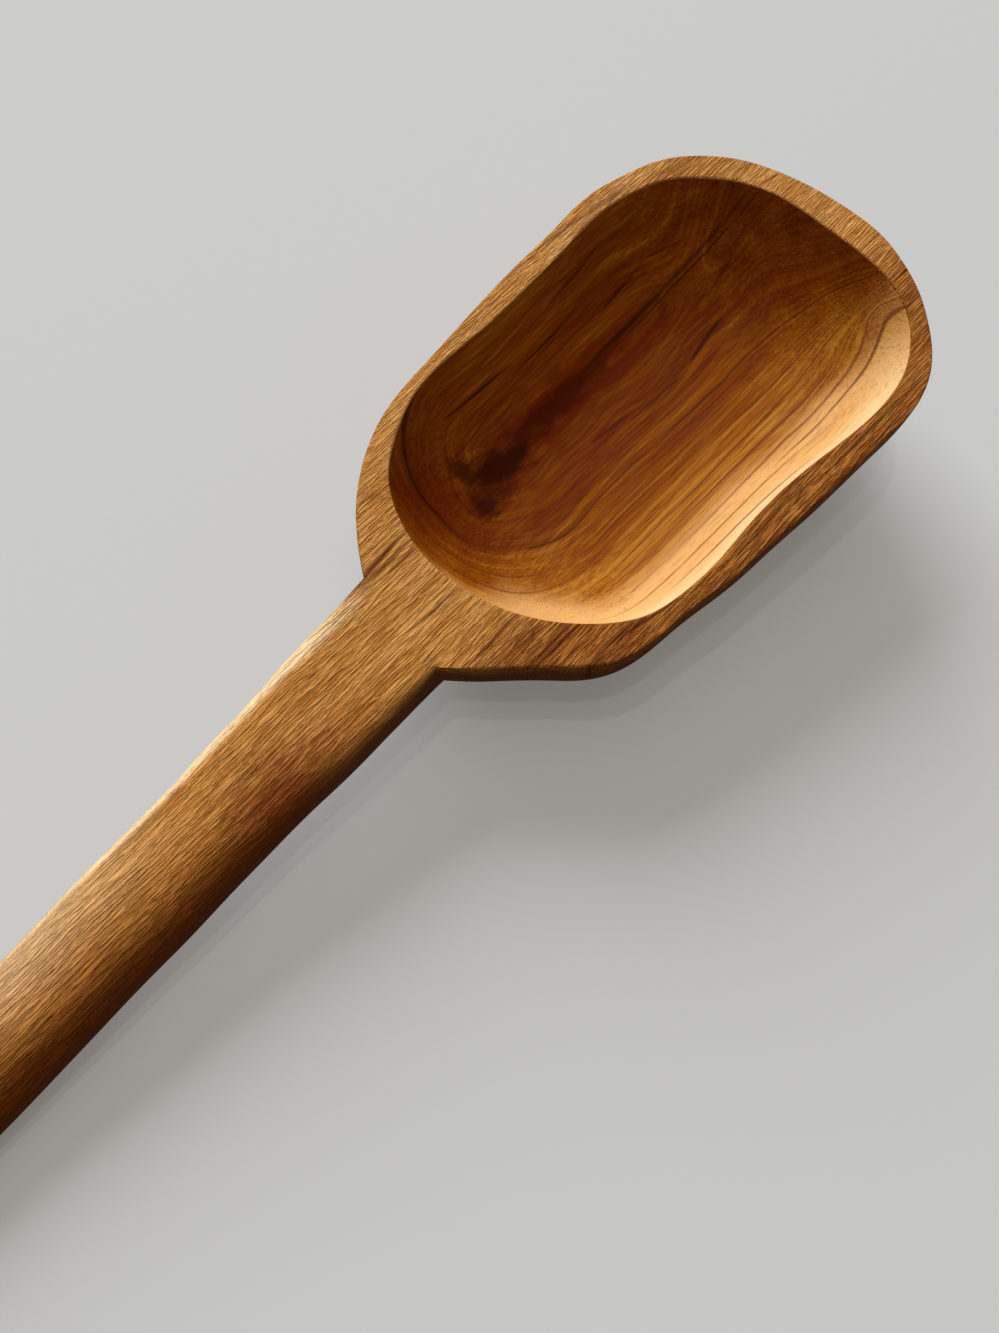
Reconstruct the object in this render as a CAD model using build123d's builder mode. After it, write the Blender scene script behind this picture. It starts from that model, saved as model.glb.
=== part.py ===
"""A carved wooden spoon: a rounded oblong bowl with square shoulders on a plain handle, cut from one blank."""

import os
from math import atan2, cos, degrees, radians, sin, sqrt, tan

from build123d import *

# Bowl, measured in the plane of its rim
bowl_length = 108.5
bowl_width = 66.0
bowl_depth = 23.0
tip_land = 5.4
side_land = 3.8
heel_land = 11.3
floor_thickness = 7.4
hollow_easing = 0.4

# Handle, measured back from the inside corners of the shoulders
handle_length = 121.5
handle_width = 17.7
handle_thickness = 9.2
handle_droop = 1.6
handle_skew = 1.0
neck_shift = 0.6
neck_overlap = 7.0
tail_rounding = 8.5

# How the spoon lies: on a flat sanded under the heel of the bowl, and on the tail of the handle
flat_cut = 0.5
tail_cut = 0.15
heel_share = 0.36

# Outline of the hull beyond a neck corner, as shares of its length and of its half width
hull_outline_shares = [
    (0.06, 0.45), (0.13, 0.69), (0.20, 0.82), (0.30, 0.885), (0.50, 0.955),
    (0.70, 0.995), (0.81, 0.96), (0.90, 0.81), (0.965, 0.50), (1.00, 0.00),
]

# Levels of the hull: share of the depth, heel and tip as shares of the length, and share of the half width.
# The second is a little wider than the first, which eases the arris of the rim.
hull_level_shares = [
    (0.00, 0.003, 0.995, 0.98),
    (0.05, 0.000, 1.000, 1.00),
    (0.26, 0.000, 0.988, 0.985),
    (0.46, 0.032, 0.957, 0.92),
    (0.66, 0.095, 0.902, 0.79),
    (0.83, 0.165, 0.835, 0.61),
    (0.94, 0.235, 0.765, 0.42),
    (0.985, 0.290, 0.710, 0.28),
    (1.00, 0.340, 0.650, 0.15),
]

# Outline of the hollow from heel to tip, with its slight waist, as shares of its length and of its half width
hollow_outline_shares = [
    (0.000, 0.00), (0.028, 0.43), (0.092, 0.70), (0.17, 0.865), (0.29, 0.938), (0.44, 0.928),
    (0.60, 0.963), (0.74, 1.00), (0.83, 0.958), (0.92, 0.77), (0.977, 0.47), (1.000, 0.00),
]

# Levels of the hollow: share of its depth, heel and tip as shares of its length, and share of the half width.
# The first lies above the rim, so that the hollow is cut clean through it.
hollow_level_shares = [
    (-0.20, -0.016, 1.015, 1.035),
    (0.00, 0.000, 1.000, 1.000),
    (0.26, 0.022, 0.979, 0.945),
    (0.52, 0.058, 0.944, 0.840),
    (0.75, 0.115, 0.890, 0.680),
    (0.91, 0.195, 0.815, 0.460),
    (0.985, 0.300, 0.715, 0.240),
    (1.00, 0.400, 0.615, 0.080),
]

# Stations of the handle from the neck to where the tail closes in: share of the length, of the width, of the
# thickness and of the droop, then the crown of the top and the radius of its arrises as shares of the thickness
handle_station_shares = [
    (0.00, 1.000, 1.00, 0.00, 0.00, 0.06),
    (0.08, 0.985, 1.01, 0.02, 0.00, 0.09),
    (0.24, 0.950, 1.04, 0.12, 0.05, 0.30),
    (0.42, 0.915, 1.06, 0.32, 0.09, 0.38),
    (0.68, 0.915, 1.03, 0.64, 0.10, 0.38),
    (0.90, 0.970, 0.92, 0.90, 0.09, 0.37),
    (1.00, 0.960, 0.86, 1.00, 0.08, 0.36),
]
tail_angles = (62, 38, 18)

# Shape of every handle section, as shares of its width or of its thickness
top_width_share = 0.93
belly_height_share = 0.55
belly_radius_share = 0.33
bottom_width_share = 0.84
bottom_radius_share = 0.40
tail_centre_share = 0.5

# The hollow, from the lands of the rim round it and the floor under it
hollow_length = bowl_length - tip_land - heel_land
hollow_width = bowl_width - 2 * side_land
hollow_depth = bowl_depth - floor_thickness

# The lie of the rim, from the two places that touch the table
heel_station = heel_share * bowl_length
tail_thickness = handle_station_shares[-1][2] * handle_thickness
tail_depth = handle_droop + tail_thickness
tail_station = handle_length - tail_rounding
rest_tilt = atan2((bowl_depth - flat_cut) - (tail_depth - tail_cut), heel_station + tail_station)
neck_rise = bowl_depth * cos(rest_tilt) - heel_station * sin(rest_tilt) - flat_cut
tail_end = tail_station + tail_rounding * cos(radians(tail_angles[-1]))
tail_shift = (handle_droop + tail_centre_share * tail_thickness) * sin(rest_tilt)
neck_station = ((tail_end - bowl_length) * cos(rest_tilt) - tail_shift) / 2

# The rim plane: its origin is between the neck corners, and its X axis runs up towards the tip
rim = Plane(
    origin=(neck_station, 0, neck_rise),
    x_dir=(cos(rest_tilt), 0, sin(rest_tilt)),
    z_dir=(-sin(rest_tilt), 0, cos(rest_tilt)),
)


def hull_section(depth_share, heel_at, tip_at, width_share):
    """Return the hull at one level: a straight neck, as wide as the handle's top, and a curve round the tip."""
    heel = heel_at * bowl_length
    length = tip_at * bowl_length - heel
    half_width = width_share * bowl_width / 2
    neck_half_width = width_share * top_width_share * handle_width / 2
    side = [(heel + length * along, half_width * across) for along, across in hull_outline_shares]
    other_side = [(x, -y) for x, y in reversed(side[:-1])]
    left_neck = (heel, neck_shift + neck_half_width)
    right_neck = (heel, neck_shift - neck_half_width)
    with BuildSketch(rim.offset(-depth_share * bowl_depth)) as outline:
        with BuildLine():
            Spline(left_neck, *side, *other_side, right_neck)
            Line(right_neck, left_neck)
        make_face()
    return outline.sketch


def hollow_section(depth_share, heel_at, tip_at, width_share):
    """Return the hollow at one level: a smooth oblong with a slight waist."""
    heel = heel_land + heel_at * hollow_length
    length = (tip_at - heel_at) * hollow_length
    half_width = width_share * hollow_width / 2
    side = [(heel + length * along, half_width * across) for along, across in hollow_outline_shares]
    other_side = [(x, -y) for x, y in reversed(side[1:-1])]
    with BuildSketch(rim.offset(-depth_share * hollow_depth)) as outline:
        with BuildLine():
            Spline(*side, *other_side, periodic=True)
        make_face()
    return outline.sketch


def handle_section(station, width, thickness, drop, crown, arris_radius):
    """Return the handle at one station: a flat or crowned top, bellied sides and a rounded underside."""
    sway = neck_shift - station * tan(radians(handle_skew))
    top_half = top_width_share * width / 2
    bottom_half = bottom_width_share * width / 2
    belly = -belly_height_share * thickness
    across = Plane(
        origin=rim.from_local_coords((-station, sway, -drop)),
        x_dir=rim.y_dir,
        z_dir=rim.x_dir,
    )
    with BuildSketch(across) as outline:
        with BuildLine():
            if crown > 0:
                ThreePointArc((-top_half, -crown), (0, 0), (top_half, -crown))
            else:
                Line((-top_half, 0), (top_half, 0))
            Polyline(
                (top_half, -crown),
                (width / 2, belly),
                (bottom_half, -thickness),
                (-bottom_half, -thickness),
                (-width / 2, belly),
                (-top_half, -crown),
            )
        make_face()
        bottom_corners, belly_corners, top_corners = outline.vertices().group_by(Axis.Y)
        fillet(top_corners, arris_radius)
        fillet(belly_corners, belly_radius_share * thickness)
        fillet(bottom_corners, bottom_radius_share * thickness)
    return outline.sketch


def handle_sections():
    """Return the sections of the handle from neck to tail, the last of them closing in to a rounded end."""
    sections = []
    for length_share, width_share, depth_share, droop_share, crown_share, arris_share in handle_station_shares:
        station = length_share * tail_station
        width = width_share * handle_width
        thickness = depth_share * handle_thickness
        crown = crown_share * handle_thickness
        arris_radius = arris_share * handle_thickness
        drop = droop_share * handle_droop
        sections.append(handle_section(station, width, thickness, drop, crown, arris_radius))
    for angle in tail_angles:
        station = tail_station + tail_rounding * cos(radians(angle))
        across = sin(radians(angle))
        through = sqrt(across)
        drop = handle_droop + (1 - through) * thickness * tail_centre_share
        sections.append(
            handle_section(station, across * width, through * thickness, drop, across * crown, through * arris_radius)
        )
    return sections


# Spoon: the handle, the hull of the bowl and its hollow are all one piece of wood
with BuildPart() as spoon:
    # The handle, from neck to tail
    loft(handle_sections())

    # It runs on into the bowl, level with the rim
    extrude(handle_sections()[0], amount=neck_overlap)

    # The hull, from the rim down to the keel
    loft([hull_section(*shares) for shares in hull_level_shares])

    # The hollow, with the arris of its opening eased
    loft([hollow_section(*shares) for shares in hollow_level_shares], mode=Mode.SUBTRACT)
    rim_face = spoon.faces().filter_by(GeomType.PLANE).sort_by(SortBy.AREA)[-1]
    chamfer(rim_face.inner_wires()[0].edges(), hollow_easing)

    # The sanded flat under the heel
    split(bisect_by=Plane.XY, keep=Keep.TOP)

spoon.part.label = "spoon"

os.makedirs("parts", exist_ok=True)
export_step(spoon.part, "parts/spoon.step")
print(f"spoon: {spoon.part.volume:.0f} mm3, lies tilted {degrees(rest_tilt):.2f} degrees")
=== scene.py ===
"""A carved wooden spoon on a pale table: the surface, finish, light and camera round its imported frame."""

from __future__ import annotations

import logging
from collections.abc import Callable
from dataclasses import dataclass, field
from enum import Enum
from functools import cached_property, reduce

import bmesh
import bpy
import numpy as np
from mathutils import Matrix, Vector

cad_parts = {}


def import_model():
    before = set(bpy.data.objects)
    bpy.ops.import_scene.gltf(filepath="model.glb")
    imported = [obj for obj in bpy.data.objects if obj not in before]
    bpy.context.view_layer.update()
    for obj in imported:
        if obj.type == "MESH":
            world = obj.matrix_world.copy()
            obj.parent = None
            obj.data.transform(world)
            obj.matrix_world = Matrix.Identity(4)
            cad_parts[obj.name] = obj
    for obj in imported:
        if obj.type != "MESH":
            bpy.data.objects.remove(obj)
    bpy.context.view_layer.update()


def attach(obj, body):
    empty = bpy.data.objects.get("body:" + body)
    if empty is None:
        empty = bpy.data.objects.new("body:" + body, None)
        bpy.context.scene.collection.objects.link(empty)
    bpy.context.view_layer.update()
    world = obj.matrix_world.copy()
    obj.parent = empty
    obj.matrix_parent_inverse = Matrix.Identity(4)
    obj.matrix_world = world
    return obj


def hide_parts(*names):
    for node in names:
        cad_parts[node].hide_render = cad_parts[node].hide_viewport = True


MM = 0.001
TINY = 1e-12
log = logging.getLogger("spoon")

Row = tuple[float, ...]
Rows = tuple[Row, ...]
Colour = tuple[float, float, float]
Stops = tuple[tuple[float, Colour], ...]


def natural_spline(knots: np.ndarray, values: np.ndarray, at: np.ndarray) -> np.ndarray:
    """Evaluate the natural cubic spline through values.

    The second derivatives come from one tridiagonal system. Between two knots the curve is the straight
    line plus the cubic of the two second derivatives there.

    Args:
        knots: Rising parameters, n of them.
        values: What the curve takes at the knots, n by any.
        at: Parameters to evaluate at, m of them.

    Returns:
        The curve's values, m by any.
    """
    gap = np.diff(knots)
    slope = np.diff(values, axis=0) / gap[:, None]
    count = len(knots)
    system = np.eye(count)
    inner = np.arange(1, count - 1)
    system[inner, inner - 1] = gap[:-1]
    system[inner, inner] = 2 * (gap[:-1] + gap[1:])
    system[inner, inner + 1] = gap[1:]
    right = np.zeros_like(values, dtype=float)
    right[1:-1] = 6 * np.diff(slope, axis=0)
    second = np.linalg.solve(system, right)
    cell = np.clip(np.searchsorted(knots, at, side="right") - 1, 0, count - 2)
    width = gap[cell][:, None]
    after = (at - knots[cell])[:, None] / width
    before = 1 - after
    bend = (before**3 - before) * second[cell] + (after**3 - after) * second[cell + 1]
    return before * values[cell] + after * values[cell + 1] + bend * width**2 / 6


def run_of(points: np.ndarray) -> np.ndarray:
    """Return how far along its polyline each point lies."""
    steps = np.linalg.norm(np.diff(points, axis=0), axis=1)
    return np.concatenate([[0.0], np.cumsum(steps)])


def even_curve(points: np.ndarray, count: int, wrap: int = 0, fine: int = 40) -> np.ndarray:
    """Space points evenly on the natural spline through an outline.

    Args:
        points: The outline's points, n by 2.
        count: How many points to return.
        wrap: Points repeated at each end of a closed outline to close it smoothly, or 0 for an open one.
        fine: Points of the dense curve to each point of the outline.

    Returns:
        The new points, count by 2.
    """
    wrapped = np.concatenate([points[-wrap:], points, points[: wrap + 1]]) if wrap else points
    knots = run_of(wrapped)
    end = knots[wrap + len(points)] if wrap else knots[-1]
    dense = natural_spline(knots, wrapped, np.linspace(knots[wrap], end, fine * len(points)))
    travel = run_of(dense)
    places = np.linspace(0, travel[-1], count, endpoint=not wrap)
    return np.stack([np.interp(places, travel, values) for values in dense.T], axis=1)


def smooth_step(x: np.ndarray) -> np.ndarray:
    """Return the cubic step that rises from 0 to 1 as x does."""
    x = np.clip(x, 0, 1)
    return x * x * (3 - 2 * x)


def superellipse(place: np.ndarray, power: np.ndarray | float) -> np.ndarray:
    """Return how high a superellipse of half size 1 is at each place across it."""
    return (1 - np.abs(place) ** power) ** (1 / power)


def bezier(start: np.ndarray, corner: np.ndarray, end: np.ndarray, steps: np.ndarray) -> np.ndarray:
    """Return the quadratic Bezier rows that round a corner: steps by columns by 3."""
    x = steps[:, None, None]
    return (1 - x) ** 2 * start + 2 * x * (1 - x) * corner + x**2 * end


def added(name: str, data: bpy.types.ID) -> bpy.types.Object:
    """Add an object to the scene that shows some data.

    Args:
        name: The name of the object.
        data: Its mesh, light or camera.

    Returns:
        The object.
    """
    item = bpy.data.objects.new(name, data)
    bpy.context.scene.collection.objects.link(item)
    return item


@dataclass(frozen=True)
class Lie:
    """How the spoon lies: the plane of its rim, tilted up towards the tip, over the table."""

    tilt: float = 4.938098
    neck_station: float = 6.0295
    neck_rise: float = 19.0524

    def axes(self) -> np.ndarray:
        """Return the rim's axes as rows: along to the tip, across to the left, and up."""
        turn = np.radians(self.tilt)
        return np.array([[np.cos(turn), 0, np.sin(turn)], [0, 1, 0], [-np.sin(turn), 0, np.cos(turn)]])

    def to_row(self, points: np.ndarray) -> np.ndarray:
        """Turn points measured from the rim, in millimetres, into row coordinates in metres.

        Args:
            points: Along, across to the right, and depth under the rim, as the last axis.

        Returns:
            The same points in the row's frame, in metres.
        """
        along, across, depth = np.moveaxis(points, -1, 0)
        local = np.stack([along, -across, -depth], axis=-1)
        return (local @ self.axes() + [self.neck_station, 0, self.neck_rise]) * MM

    def from_row(self) -> tuple[Vector, Vector]:
        """Return the place and turn that carry row millimetres back to the rim's axes."""
        offset = self.axes() @ [self.neck_station, 0, self.neck_rise]
        return Vector(-offset), Vector((0, np.radians(self.tilt), 0))


@dataclass(frozen=True)
class Levels:
    """A family of level curves from a rim to a pole: a table of depth, heel, tip and half width as shares.

    The table is mirrored past the pole, with depth and centre even and the two half sizes odd, so that a
    spline through it runs level and smooth over the pole. The half width, as a share of the length, only
    serves to measure the run down the wall.
    """

    depth_mm: float
    heel_mm: float
    length_mm: float
    table: Rows
    half_width: float = 0.3

    def knots(self) -> tuple[np.ndarray, np.ndarray]:
        """Measure the levels and mirror the table.

        Returns:
            The run at each level, and the mirrored table: depth, centre, half length and half width.
        """
        depth, heel, tip, width = np.array(self.table).T
        rows = np.stack([depth, (heel + tip) / 2, tip - heel, width], axis=1)
        run = run_of(np.stack([depth * self.depth_mm, width * self.length_mm * self.half_width], axis=1))
        mirrored = rows[-2::-1] * [1, 1, -1, -1]
        return np.concatenate([run, 2 * run[-1] - run[-2::-1]]), np.concatenate([rows, mirrored])

    def wall_length(self) -> float:
        """Return the run from the rim to the pole."""
        return float(self.knots()[0][len(self.table) - 1])

    def surface(self, rim: np.ndarray, run: np.ndarray) -> np.ndarray:
        """Carry each rim point down its wall.

        A rim point keeps its share of the level's length and width. The level shrinks about its centre.

        Args:
            rim: Rim points, columns by 2.
            run: How far down the wall each row lies, as a share, rows by columns.

        Returns:
            Rows by columns by 3: along, across and depth.
        """
        knots, table = self.knots()
        at = natural_spline(knots, table, run.ravel() * self.wall_length())
        depth, centre, half, width = at.reshape(*run.shape, 4).transpose(2, 0, 1)
        middle = self.heel_mm + self.length_mm / 2
        along = self.heel_mm + centre * self.length_mm + (rim[:, 0] - middle) * half
        return np.stack([along, rim[:, 1] * width, depth * self.depth_mm], axis=-1)


@dataclass(frozen=True)
class GrowthField:
    """The growth layers of the wood seen in plan, as a smooth field whose level lines are the rings.

    The rings bend round the knot at the heel and run on to the tip. Each line holds its level and its
    places, along and across to the right. A thin-plate spline, the sum of r squared log r about every place
    plus a plane, takes each line's level on that line.
    """

    lines: tuple[tuple[float, Rows], ...]
    span: float = 50.0
    ease: float = 1e-3

    def at(self, plan: np.ndarray) -> np.ndarray:
        """Evaluate the field.

        Args:
            plan: Along and across to the right in millimetres, n by 2.

        Returns:
            The layer at each place, n of them.
        """
        places = np.array([place for _, line in self.lines for place in line]) / self.span
        levels = np.array([level for level, line in self.lines for _ in line])
        count = len(places)
        system = np.zeros((count + 3, count + 3))
        system[:count, :count] = self.kernel(places, places) + self.ease * np.eye(count)
        system[:count, count:] = np.column_stack([np.ones(count), places])
        system[count:, :count] = system[:count, count:].T
        weights = np.linalg.solve(system, np.concatenate([levels, np.zeros(3)]))
        plan = plan / self.span
        return self.kernel(plan, places) @ weights[:count] + weights[count] + plan @ weights[count + 1 :]

    @staticmethod
    def kernel(first: np.ndarray, second: np.ndarray) -> np.ndarray:
        """Return r squared log r between every two places."""
        square = ((first[:, None] - second[None]) ** 2).sum(axis=2)
        return 0.5 * square * np.log(square + TINY)


# Outlines of the rim and of the hollow: along from the neck line and across to the right, in millimetres
RIGHT_AND_LEFT_OUTLINE = (
    (0, 7.9), (3.6, 12.2), (7.2, 15.9), (11.2, 20.1), (14.9, 24.1), (18.2, 26.4), (22.2, 27.8),
    (29.9, 28.9), (37.7, 30.1), (45.7, 31.1), (54.8, 31.9), (67.9, 32.8), (75, 33.2), (81.4, 33.4),
    (86.3, 32.6), (90.5, 31.1), (94.6, 28.6), (98.8, 24.9), (102.7, 20.4), (105.8, 15.2), (107.8, 9.8),
    (108.7, 4), (108.7, -3.5), (107.3, -12.7), (104.4, -19.9), (99.8, -25.8), (93.8, -29.9), (87, -32.1),
    (78.9, -33), (69.1, -32.6), (53.7, -31.6), (44.5, -30.6), (32.1, -29.1), (23.5, -27.2), (16.7, -23.9),
    (10.8, -19.4), (6.3, -14.4), (3, -9.5),
)

HOLLOW_OUTLINE = (
    (11.3, -1.8), (11.6, 2.4), (12.5, 7), (14, 11.1), (16.4, 15.3), (19.8, 19.6), (23.4, 22.9),
    (27.1, 25.1), (31.7, 26.4), (38, 27), (47.9, 26.8), (59.8, 27.1), (70.2, 28.5), (76.5, 29.3),
    (82.1, 29.2), (87, 28.3), (91.4, 26.5), (95.4, 23.8), (98.6, 20.1), (100.9, 15.6), (102.4, 8.6),
    (103, 1), (103, -6), (102.1, -12), (100.3, -16.7), (97.1, -21.2), (92.8, -25), (88, -27.5), (82, -28.8),
    (74.3, -28.9), (66.4, -28.2), (58.8, -27.6), (49, -27.3), (39.8, -27.6), (31.4, -26.7), (23.6, -23.6),
    (17.2, -18.8), (13.2, -12.4), (11.6, -6.6),
)

# Lines of the growth layers: the level, and places on the line, along and across
GROWTH_LINES = (
    (0, ((36, -13.5), (50, -15.2), (65, -15.5), (80, -15.5), (95, -13.5))),
    (8, (
        (42.1, -20.9), (35.8, -21.2), (33.2, -19.7), (32, -16.7), (29, -11.5), (34, -7), (45, -6.2),
        (60, -6), (80, -6.5), (96, -5),
    )),
    (8, ((52, -22), (67, -22.8), (82, -22.6), (92, -20))),
    (15, (
        (60, -28.5), (44, -28), (35.4, -27.6), (30.3, -26.4), (25.5, -23.9), (22.6, -20.7), (21.3, -16.9),
        (21.4, -12), (21.8, -5.7), (23.7, -3.5), (27.4, -0.6), (30.9, 1.7), (34.5, 3), (39.1, 3.1),
        (46.7, 2.4), (58, 2.7), (67.8, 3.1), (77.8, 3.3), (87.2, 3.6), (94.6, 5.8), (98.7, 8.5),
        (100.4, 11.2), (101.2, 14),
    )),
    (20, (
        (75, -34), (35, -33), (21, -27), (17.3, -19), (16.4, -12), (17.4, -5), (20, 0.5), (24.5, 4.2),
        (31, 6.6), (41.4, 7.5),
    )),
    (26, ((12.6, -14), (11.6, -5), (14, 3), (18.5, 8.5), (26, 12.4))),
    (31.5, (
        (17, 12.5), (22, 16), (30, 18.4), (50.6, 19.2), (61.8, 19.2), (73.9, 19.1), (86.4, 19.6),
        (90.9, 19.4), (93.7, 18.6), (96.3, 17.6), (98.7, 16.3),
    )),
    (34, ((22, 18.5), (27, 20.4), (35.6, 21.4), (46.1, 21.8), (60.1, 22.2), (75, 23.2), (90, 23.8))),
)


class Tone(Enum):
    """The shades that the marks of the figure take."""

    HAZE = "red_haze"
    RED = "red_brown"
    DARK = "dark_brown"


class Side(Enum):
    """What a mark of the figure follows."""

    RINGS = "growth rings in the hollow"
    HOLLOW = "hollow"
    TOP = "top and handle"


# Lines by side and shade: start, end, place across at each end (on the rings, the layer), width, strength
LINES = (
    (Side.RINGS, Tone.DARK, (
        (-30, 44, 15, 15, 0.52, 0.95), (-60, 150, 15, 15, 0.26, 0.6),
    )),
    (Side.RINGS, Tone.RED, (
        (-20, 32, 20, 20, 0.32, 0.8), (33, 76, 20, 20, 0.32, 0.7), (-20, 40, 23, 23, 0.28, 0.6),
        (62, 104, 21.8, 23.4, 0.4, 0.8), (30, 112, 26, 26, 0.3, 0.8), (46, 92, 28, 29.4, 0.34, 0.75),
        (76, 108, 30, 29.4, 0.26, 0.6), (40, 118, 31.5, 31.5, 0.28, 0.65), (20, 78, 34, 34, 0.28, 0.6),
        (66, 112, 33.2, 32.6, 0.24, 0.8), (34, 70, 36, 36.4, 0.26, 0.75),
    )),
    (Side.HOLLOW, Tone.DARK, (
        (36, 104, -14.9, -18.2, 0.95, 0.75), (58, 90, -16.3, -17.4, 0.6, 0.95),
        (64, 105, -15.4, -16.8, 0.42, 0.85), (33.5, 50.5, -26, -25.4, 0.42, 0.85),
        (62.5, 76, -28.5, -30.1, 0.36, 0.8), (49, 68.5, -23.7, -25.1, 0.4, 0.8),
        (70.5, 84.5, -21.9, -23.5, 0.45, 0.8), (84, 91, -24, -21.2, 0.36, 0.6),
        (51.5, 62, -5.3, -4.5, 0.62, 0.6), (57.5, 73, -3.5, -2.7, 0.36, 0.55),
        (76, 87.6, -3.2, -5.1, 0.62, 1), (65.5, 75.5, -0.7, -0.8, 0.26, 0.5),
        (90, 97, -10.6, -12.7, 0.6, 0.5), (96, 103.5, -23.6, -23.3, 0.45, 0.7),
        (29.5, 43.5, -19.7, -22.1, 0.36, 0.6),
    )),
    (Side.TOP, Tone.DARK, (
        (13.5, 24.5, 24.1, 24.3, 0.6, 1), (22, 32, 24.6, 26.6, 0.45, 0.8), (38, 60, 28.2, 28.6, 0.5, 0.7),
        (62, 86, 30, 30.9, 0.42, 0.65), (101, 108, 16.6, 16.8, 0.3, 0.7), (103, 109, 8.6, 8.6, 0.22, 0.6),
    )),
    (Side.TOP, Tone.RED, (
        (-2.5, 14, -8.8, -10.7, 0.7, 0.95), (0.5, 14, -8.4, -8.9, 0.5, 0.8), (4, 14, -7.3, -7.8, 0.4, 0.7),
        (10.5, 18, -18.8, -17.9, 0.45, 0.75), (1, 12.5, 1.3, 2, 0.55, 0.85),
        (-9, -3.5, -0.1, 0.5, 0.26, 0.4), (2.5, 15, 11.2, 11.1, 0.55, 0.85),
        (9.5, 15.5, 14.1, 14.9, 0.95, 0.7), (8, 19.5, 17.5, 17.8, 0.46, 0.95),
        (8.5, 20, 18.3, 18.6, 0.46, 0.95), (66, 90, -31.8, -29.2, 0.8, 0.5),
        (102, 108, -12.6, -11.4, 0.34, 0.6), (-36, -24, 3.6, 4.4, 0.7, 0.55),
        (-31, -23.5, -0.6, 0.5, 1, 0.4),
    )),
)

# Soft patches by side, shade and softness: middle along and across, half length, half width, strength
BLOTS = (
    (Side.HOLLOW, Tone.DARK, 0.7, (
        (29.5, -9.8, 4.8, 3, 0.95), (31, -16.2, 3.6, 4, 0.8), (37.5, -13.6, 9.5, 4.2, 1),
        (33.2, -13.2, 7.5, 7, 0.6), (52, -14.8, 18, 3, 0.7),
    )),
    (Side.HOLLOW, Tone.HAZE, 1.0, (
        # The blot at 22 along and 14 to the left is partly red haze and partly a painted shadow of the left
        # wall over the heel.
        (55, -14.5, 34, 8.5, 0.9), (36, -12, 11, 8, 0.85), (70, -22, 30, 8, 0.25), (22, -14, 11, 12, 0.6),
        (53, -4.5, 13, 5, 0.55), (60, 5, 10, 2.5, 0.35),
    )),
    (Side.TOP, Tone.HAZE, 1.0, (
        (-27, 3.5, 15, 7, 0.6), (9.5, 15, 6, 3, 0.4), (24, 26, 22, 4, 0.25),
    )),
)

# Station, half width, thickness, drop, place across, and the exponents of the top and the underside
HANDLE_SECTIONS = (
    (0, 8.75, 9.2, 0, -0.75, 16, 5),
    (10, 8.8, 9.3, 0.05, -0.43, 10, 4.2),
    (27, 8.32, 9.6, 0.19, -0.09, 4.2, 3),
    (48, 8.22, 9.75, 0.51, 0.27, 2.8, 2.6),
    (77, 7.98, 9.5, 1.02, 1.05, 2.4, 2.5),
    (102, 8.45, 8.5, 1.44, 1.4, 2.4, 2.5),
    (113, 8.45, 7.9, 1.6, 1.5, 2.4, 2.5),
    (121.5, 8.45, 7.3, 1.7, 1.6, 2.4, 2.5),
)

# Two sines to a coordinate: height, turn to a millimetre along, across and in depth, and phase
HAND_WANDER = (
    ((0.05, 0.21, 0.13, 0, 1.1), (0.04, 0.17, -0.31, 0.2, 2)),
    ((0.05, 0.26, 0.11, 0, 0.4), (0.03, 0.41, 0, -0.15, 4)),
    ((0.08, 0.33, 0.24, 0, 5.2), (0.05, 0.19, -0.42, 0, 0.7)),
)


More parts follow.
